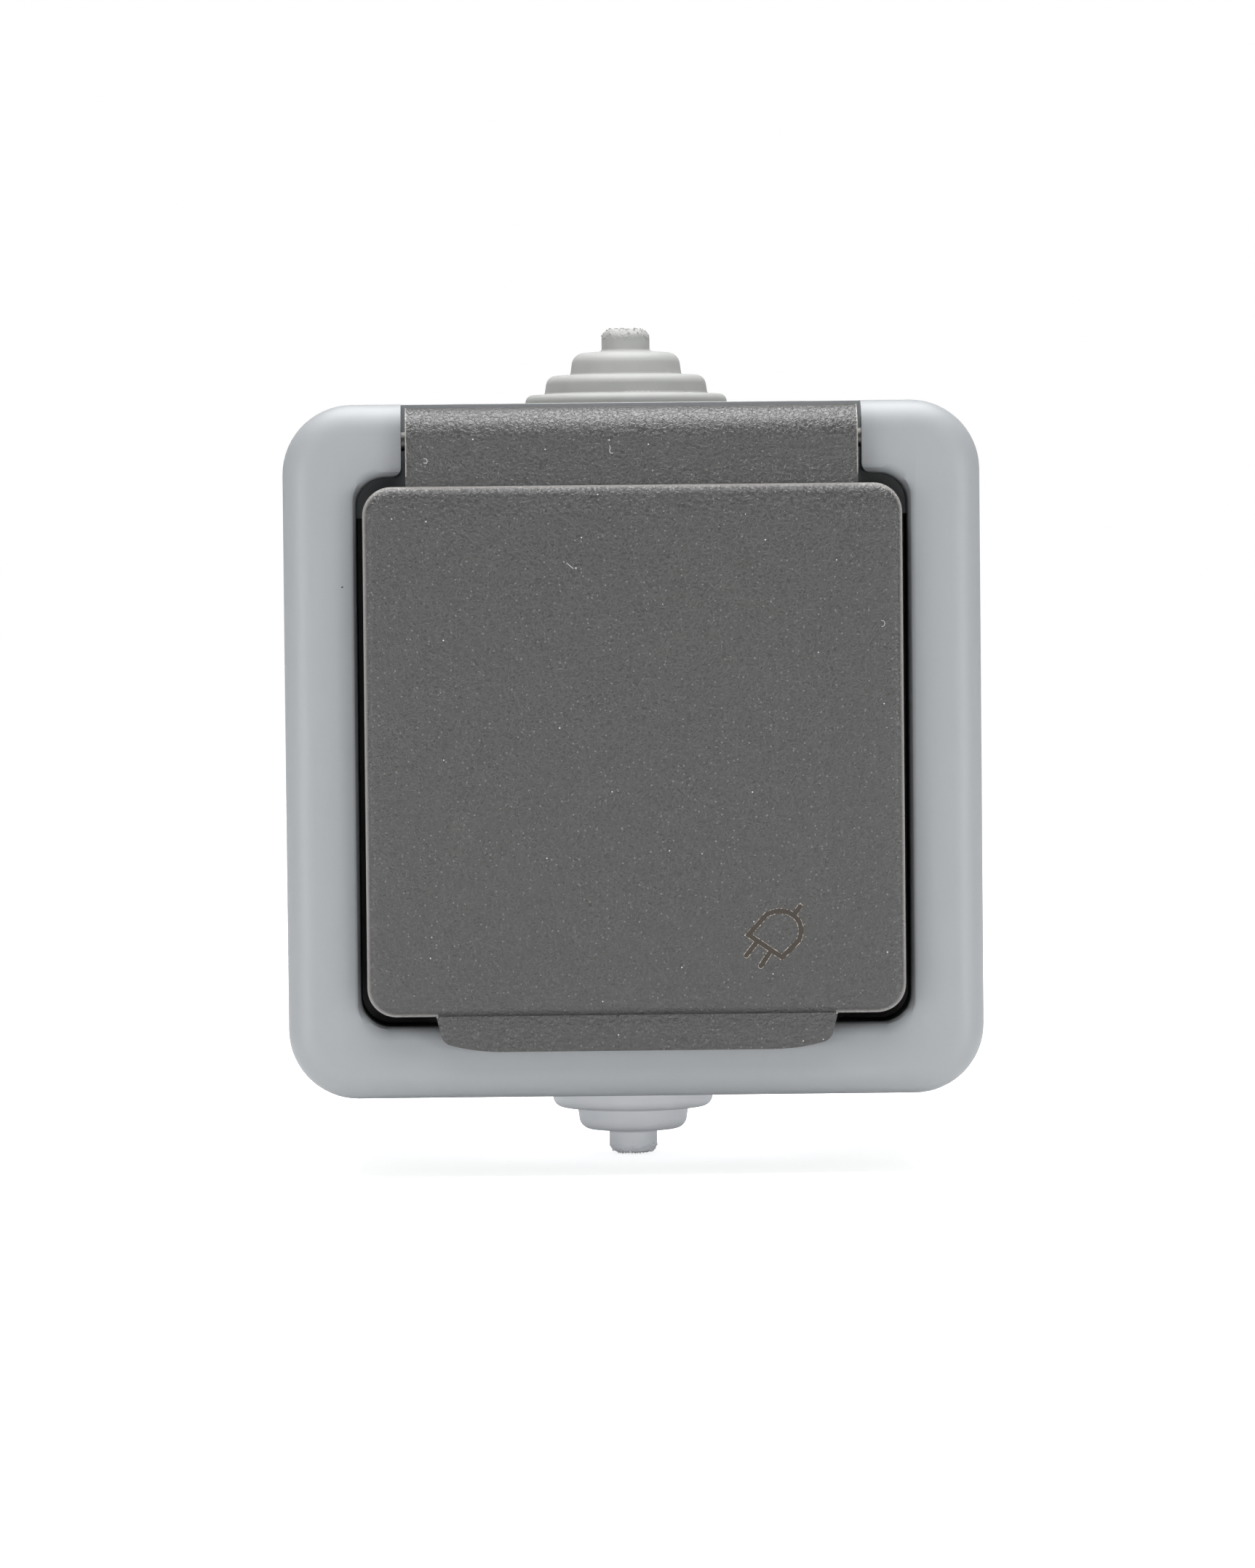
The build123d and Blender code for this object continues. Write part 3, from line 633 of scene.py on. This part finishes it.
# Lid
# One moulding of dark grey ABS: panel, hinge barrel and finger lip, from a spark-eroded mould.
# That gives a leathery grain that glints where the light grazes it, on the rolled edges most of all.
lid_edge = 0.2 * MM
panel_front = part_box("lid")[0].y
panel_shoulder = panel_front + 1.4 * MM
panel_low = -26.5 * MM
panel_high = 26.6 * MM
lip_half_width = 19.9 * MM
lip_root = 2 * MM
flap_half_width = 22.6 * MM
hinge_low = 27.6 * MM
# The panel's rolled edge and the flap's ends get a pale painted highlight.
highlight_ahead = (0.95 * MM, 0.6 * MM)
highlight_behind = 0.2 * MM
highlight_flap_end = (0.16 * MM, 0.04 * MM)
highlight_share = 0.7


def painted_edge_highlight(tree, place):
    """Where the painted highlight goes: 1 along the panel's rolled edge, but not above the lip, and along the
    flap's ends; 0 elsewhere.
    """
    parts = add(tree, "ShaderNodeSeparateXYZ", {"Vector": place}).outputs
    side = add(tree, "ShaderNodeMath", {0: parts["X"]}, operation="ABSOLUTE")
    ahead = add(
        tree,
        "ShaderNodeMapRange",
        {
            "Value": parts["Y"],
            "From Min": panel_shoulder - highlight_ahead[0],
            "From Max": panel_shoulder - highlight_ahead[1],
        },
    )
    behind = add(
        tree,
        "ShaderNodeMapRange",
        {"Value": parts["Y"], "From Min": panel_shoulder + highlight_behind, "From Max": panel_shoulder},
    )
    rolled = add(tree, "ShaderNodeMath", {0: ahead, 1: behind}, operation="MULTIPLY")
    on_panel = between(tree, parts["Z"], panel_low, panel_high)
    rim = add(tree, "ShaderNodeMath", {0: rolled, 1: on_panel}, operation="MULTIPLY")
    lip_width = between(tree, side, -MM, lip_half_width)
    lip_height = between(tree, parts["Z"], panel_low, panel_low + lip_root)
    over_lip = add(tree, "ShaderNodeMath", {0: lip_width, 1: lip_height}, operation="MULTIPLY")
    off_lip = add(tree, "ShaderNodeMath", {0: 1.0, 1: over_lip}, operation="SUBTRACT")
    panel_edge = add(tree, "ShaderNodeMath", {0: rim, 1: off_lip}, operation="MULTIPLY")
    flap_side = add(
        tree,
        "ShaderNodeMapRange",
        {
            "Value": side,
            "From Min": flap_half_width - highlight_flap_end[0],
            "From Max": flap_half_width - highlight_flap_end[1],
        },
    )
    on_flap = add(tree, "ShaderNodeMath", {0: parts["Z"], 1: hinge_low}, operation="GREATER_THAN")
    flap_end = add(tree, "ShaderNodeMath", {0: flap_side, 1: on_flap}, operation="MULTIPLY")
    return add(tree, "ShaderNodeMath", {0: panel_edge, 1: flap_end}, operation="MAXIMUM")


def spark_eroded_abs():
    """ABS from a spark-eroded mould: wrinkles of about 0.4 mm, pale specks painted as glints, and edges paled
    by a painted highlight.
    """
    made, tree = new_tree("Spark-eroded dark grey ABS")
    place = add(tree, "ShaderNodeTexCoord").outputs["Object"]
    cloud = add(tree, "ShaderNodeTexNoise", {"Vector": place, "Scale": per_metre(18 * MM), "Detail": 3.0})
    tint = add(tree, "ShaderNodeMix", {"Factor": cloud, "A": "#272728", "B": "#2C2B29"}, data_type="RGBA")
    pores = speckled(tree, place, tint, cell=0.5 * MM, share=0.5, radius=0.2, tone="#1A1A1A", strength=0.5)
    # Pale specks painted as glints of the grain's facets: a fine dim layer and a sparse bright one.
    glint_specks = speckled(tree, place, pores, cell=0.55 * MM, share=0.5, radius=0.17, tone="#7C7B79", strength=0.42)
    bright_glint_specks = speckled(tree, place, glint_specks, cell=1.7 * MM, share=0.4, radius=0.045, tone="#D2D0CC", strength=0.7)
    edges = painted_edge_highlight(tree, place)
    # The pale painted highlight along the rolled edges.
    wear_and_highlight = add(tree, "ShaderNodeMath", {0: edges, 1: highlight_share}, operation="MULTIPLY")
    colour = add(tree, "ShaderNodeMix", {"Factor": wear_and_highlight, "A": bright_glint_specks, "B": "#A3A09D"}, data_type="RGBA")
    grain = add(
        tree,
        "ShaderNodeTexNoise",
        {
            "Vector": place,
            "Scale": per_metre(0.36 * MM),
            "Detail": 3.0,
            "Roughness": 0.6,
            "Distortion": 0.9,
        },
    )
    bump = add(tree, "ShaderNodeBump", {"Height": grain, "Strength": 1.0, "Distance": 0.18 * MM})
    # The IOR is above plain ABS's 1.53, to match the strong glints of the real grain.
    skin = add(
        tree,
        "ShaderNodeBsdfPrincipled",
        {"Base Color": colour, "Roughness": 0.31, "IOR": 1.72, "Normal": bump},
    )
    add(tree, "ShaderNodeOutputMaterial", {"Surface": skin})
    return made


dress(eased_copy("lid", lid_edge), spark_eroded_abs(), "lid")

# Plug sign
# A generic plug outline, pad printed in brown-grey ink in the lid's lower right corner.
# The ink is thin at its edges, so that a broken pale rim shows.
sign_stroke = 0.57 * MM
sign_rim = 0.06 * MM
sign_rise = 0.02 * MM
sign_overlay = 0.1
sign_body = (
    (11.17, -18.44), (13.01, -16.42), (13.55, -16.2), (14.17, -16.08), (14.75, -16.12), (15.3, -16.3),
    (15.84, -16.67), (16.2, -17.1), (16.38, -17.6), (16.42, -18.05), (16.36, -18.6), (16.18, -19.07),
    (14.49, -20.72),
)
sign_pins = (((11.89, -19.31), (10.94, -20.5)), ((13.26, -20.27), (12.38, -21.57)))
sign_cord = ((15.77, -16.45), (16.35, -15.66))
stroke_end_steps = 8
sharpest_mitre = 0.5


def pad_ink():
    """Brown-grey pad-printing ink: a dull film with a slight mottle."""
    made, tree = new_tree("Brown-grey ink")
    place = add(tree, "ShaderNodeTexCoord").outputs["Object"]
    mottle = add(tree, "ShaderNodeTexNoise", {"Vector": place, "Scale": per_metre(0.25 * MM), "Detail": 4.0})
    tint = add(tree, "ShaderNodeMix", {"Factor": mottle, "A": "#29231D", "B": "#3A322A"}, data_type="RGBA")
    bump = add(tree, "ShaderNodeBump", {"Height": mottle, "Strength": 0.5, "Distance": 0.01 * MM})
    skin = add(
        tree,
        "ShaderNodeBsdfPrincipled",
        {"Base Color": tint, "Roughness": 0.5, "IOR": 1.5, "Normal": bump},
    )
    add(tree, "ShaderNodeOutputMaterial", {"Surface": skin})
    return made


def thin_ink():
    """The ink's edge, worn through in a broken pale line."""
    made, tree = new_tree("Worn ink rim")
    place = add(tree, "ShaderNodeTexCoord").outputs["Object"]
    gaps = add(tree, "ShaderNodeTexNoise", {"Vector": place, "Scale": per_metre(0.3 * MM), "Detail": 3.0})
    broken = add(tree, "ShaderNodeMapRange", {"Value": gaps, "From Min": 0.44, "From Max": 0.62})
    tint = add(tree, "ShaderNodeMix", {"Factor": broken, "A": "#3E372F", "B": "#B7AFA5"}, data_type="RGBA")
    skin = add(tree, "ShaderNodeBsdfPrincipled", {"Base Color": tint, "Roughness": 0.45, "IOR": 1.5})
    add(tree, "ShaderNodeOutputMaterial", {"Surface": skin})
    return made


def stroke_outline(points, width, closed):
    """Left and right sides of a stroke along points, with mitred corners."""
    count = len(points)
    left, right = [], []
    for number, point in enumerate(points):
        before = points[number - 1] if closed or number else point
        after = points[(number + 1) % count] if closed or number + 1 < count else point
        into = (point - before).normalized()
        out = (after - point).normalized()
        along = (into + out).normalized()
        across = Vector((-along.y, along.x))
        bend = max(along.dot(out if out.length else into), sharpest_mitre)
        left.append(point + across * width / 2 / bend)
        right.append(point - across * width / 2 / bend)
    return left, right


def draw_stroke(work, points, width, front, material=0, closed=False):
    """Adds a flat stroke to a bmesh, with round ends where it is open."""
    flat = [Vector(point) * MM for point in points]
    left, right = stroke_outline(flat, width, closed)
    sides = [
        (work.verts.new((a.x, front, a.y)), work.verts.new((b.x, front, b.y)))
        for a, b in zip(left, right)
    ]
    pairs = list(zip(sides, sides[1:]))
    tips = ((flat[0], flat[1]), (flat[-1], flat[-2]))
    if closed:
        pairs.append((sides[-1], sides[0]))
        tips = ()
    faces = [work.faces.new((a[0], a[1], b[1], b[0])) for a, b in pairs]
    for tip, neighbour in tips:
        heading = (tip - neighbour).normalized()
        across = Vector((-heading.y, heading.x))
        fan = []
        for step in range(stroke_end_steps + 1):
            angle = math.pi * step / stroke_end_steps - math.pi / 2
            spot = tip + (heading * math.cos(angle) + across * math.sin(angle)) * width / 2
            fan.append(work.verts.new((spot.x, front, spot.y)))
        faces.append(work.faces.new(fan))
    for face in faces:
        face.material_index = material


def flat_piece(name, strokes):
    """An object of flat strokes that face the front, each as draw_stroke takes it."""
    mesh = bpy.data.meshes.new(name)
    work = bmesh.new()
    for stroke in strokes:
        draw_stroke(work, *stroke)
    work.to_mesh(mesh)
    work.free()
    for face in mesh.polygons:
        if face.normal.y > 0:
            face.flip()
    return put_in_scene(name, mesh)


sign_strokes = []
for width, rise, material in (
    (sign_stroke, sign_rise / 2, 1),
    (sign_stroke - 2 * sign_rim, sign_rise, 0),
):
    sign_strokes.append((sign_body, width, panel_front - rise, material, True))
    for line in (*sign_pins, sign_cord):
        sign_strokes.append((line, width, panel_front - rise - rise * sign_overlay, material))
sign = dress(flat_piece("plug_sign", sign_strokes), pad_ink(), "lid")
sign.data.materials.append(thin_ink())

# Marks of use
# Handling leaves three hooked scratches and a straight one in the lid's grain.
# One dark speck in the frame's skin is a grain of plastic that scorched in the moulding machine.
scratch_width = 0.085 * MM
scratch_rise = 0.008 * MM
flap_front = panel_front + 1.4 * MM
lid_scratches = (
    (flap_front, ((-20.75, 29.42), (-20.5, 29.36), (-20.38, 29.14), (-20.5, 28.93), (-20.74, 28.97))),
    (flap_front, ((-2.17, 30.5), (-2.13, 30.25), (-2.2, 29.95), (-2.08, 29.76), (-1.88, 29.78))),
    (panel_front, ((24.72, 12.82), (24.98, 12.76), (25.08, 12.5), (24.97, 12.28), (24.78, 12.2))),
    (panel_front, ((-6.6, 18.85), (-6.3, 18.6), (-5.97, 18.3))),
)
speck_line = ((-29.1, 16.63), (-29.02, 16.66))
speck_width = 0.15 * MM
speck_rise = 0.01 * MM


def scored_abs():
    """The lid's plastic where something has scored it: rough and whitened."""
    made, tree = new_tree("Scored ABS")
    place = add(tree, "ShaderNodeTexCoord").outputs["Object"]
    fray = add(tree, "ShaderNodeTexNoise", {"Vector": place, "Scale": per_metre(0.1 * MM), "Detail": 3.0})
    tint = add(tree, "ShaderNodeMix", {"Factor": fray, "A": "#7C7A78", "B": "#A9A7A3"}, data_type="RGBA")
    skin = add(tree, "ShaderNodeBsdfPrincipled", {"Base Color": tint, "Roughness": 0.6, "IOR": 1.5})
    add(tree, "ShaderNodeOutputMaterial", {"Surface": skin})
    return made


def scorched_abs():
    """A grain of scorched plastic: brown-black and rough."""
    made, tree = new_tree("Scorched grain")
    place = add(tree, "ShaderNodeTexCoord").outputs["Object"]
    char = add(tree, "ShaderNodeTexNoise", {"Vector": place, "Scale": per_metre(0.05 * MM), "Detail": 2.0})
    tint = add(tree, "ShaderNodeMix", {"Factor": char, "A": "#2A241E", "B": "#4A4036"}, data_type="RGBA")
    skin = add(tree, "ShaderNodeBsdfPrincipled", {"Base Color": tint, "Roughness": 0.55, "IOR": 1.5})
    add(tree, "ShaderNodeOutputMaterial", {"Surface": skin})
    return made


scratch_strokes = [(points, scratch_width, front - scratch_rise) for front, points in lid_scratches]
dress(flat_piece("lid_scratches", scratch_strokes), scored_abs(), "lid")
speck_strokes = [(speck_line, speck_width, frame_front - speck_rise)]
dress(flat_piece("frame_speck", speck_strokes), scorched_abs())

# Camera, light and floor
# The object is seen nearly square on from the front, from a little above and a little to the left.
# Soft light comes from overhead and from both sides, and the floor is a plain pale sheet.
camera_distance = 0.77
camera_raise = math.radians(1.95)
camera_turn = math.radians(-0.8)
camera_roll = math.radians(0.57)
photo_scale = 13720.0
photo_long_side = 2156
photo_middle = (862.5, 1078.0)
object_middle = (871.8, 1031.8)
sensor = 36.0
world_light = 0.28
floor_half_width = 3.0
floor_gap = 0.2 * MM
floor_white = 0.9
floor_glow = 0.76


def make_camera():
    """A long lens at the photograph's distance, aimed so that the frame lies where the photograph has it."""
    data = bpy.data.cameras.new("Camera")
    data.sensor_width = sensor
    data.lens = photo_scale * camera_distance * sensor / photo_long_side
    camera = put_in_scene("Camera", data)
    turn = Matrix.Rotation(camera_turn, 4, "Z") @ Matrix.Rotation(math.pi / 2 - camera_raise, 4, "X")
    roll = Matrix.Rotation(-camera_roll, 4, "Z")
    offset_x = (photo_middle[0] - object_middle[0]) / photo_scale
    offset_y = (object_middle[1] - photo_middle[1]) / photo_scale
    back = Matrix.Translation((offset_x, offset_y, camera_distance))
    camera.matrix_world = Matrix.Translation((0, frame_front, 0)) @ turn @ roll @ back
    bpy.context.scene.camera = camera


def white_world():
    """Even pale light all round, pure white where the camera sees it, directly or through something clear."""
    world = bpy.data.worlds.new("World")
    world.use_nodes = True
    tree = world.node_tree
    tree.nodes.clear()
    rays = add(tree, "ShaderNodeLightPath").outputs
    seen = add(
        tree,
        "ShaderNodeMath",
        {0: rays["Is Camera Ray"], 1: rays["Is Transmission Ray"]},
        operation="MAXIMUM",
    )
    level = add(tree, "ShaderNodeMapRange", {"Value": seen, "To Min": world_light, "To Max": 1.0})
    sky = add(tree, "ShaderNodeBackground", {"Color": (1, 1, 1, 1), "Strength": level})
    add(tree, "ShaderNodeOutputWorld", {"Surface": sky})
    bpy.context.scene.world = world


def pale_floor():
    """A large white sheet just under the lowest point, a little brighter where the camera sees it."""
    low = cad_bounds[0][2] - floor_gap
    half = floor_half_width
    corners = [(-half, -half, low), (half, -half, low), (half, half, low), (-half, half, low)]
    mesh = bpy.data.meshes.new("Floor")
    mesh.from_pydata(corners, [], [(0, 1, 2, 3)])
    made, tree = new_tree("Pale paper floor")
    seen = add(tree, "ShaderNodeLightPath").outputs["Is Camera Ray"]
    matt = add(tree, "ShaderNodeBsdfDiffuse", {"Color": (floor_white, floor_white, floor_white, 1)})
    glow = add(tree, "ShaderNodeEmission", {"Color": (1, 1, 1, 1), "Strength": floor_glow})
    both = add(tree, "ShaderNodeAddShader", {0: matt, 1: glow})
    choice = add(tree, "ShaderNodeMixShader", {"Fac": seen, 1: matt, 2: both})
    add(tree, "ShaderNodeOutputMaterial", {"Surface": choice})
    mesh.materials.append(made)
    put_in_scene("Floor", mesh)


def soft_lamp(name, place, aim, width, height, power):
    """A rectangular soft light at a place, pointed at another; sizes in metres, power in watts."""
    data = bpy.data.lights.new(name, "AREA")
    data.shape = "RECTANGLE"
    data.size = width
    data.size_y = height
    data.energy = power
    lamp = put_in_scene(name, data)
    lamp.location = place
    lamp.rotation_euler = (Vector(aim) - Vector(place)).to_track_quat("-Z", "Y").to_euler()


make_camera()
white_world()
pale_floor()
soft_lamp("Overhead", (0, 0.05, 0.62), (0, 0.049, 0), width=0.64, height=0.58, power=8.2)
soft_lamp("Overhead front", (0, -0.42, 0.6), (0, -0.03, 0), width=0.7, height=0.13, power=1.7)
for side, name in ((-1, "left"), (1, "right")):
    beside = (side * 0.6, -0.45, 0.02)
    soft_lamp("Side " + name, beside, (0, -0.03, 0), width=0.35, height=0.25, power=0.55)
    below = (side * 0.48, -0.52, -0.028)
    soft_lamp("Low " + name, below, (0, -0.03, -0.03), width=0.3, height=0.06, power=1.25)
bpy.context.scene.view_settings.view_transform = "Standard"
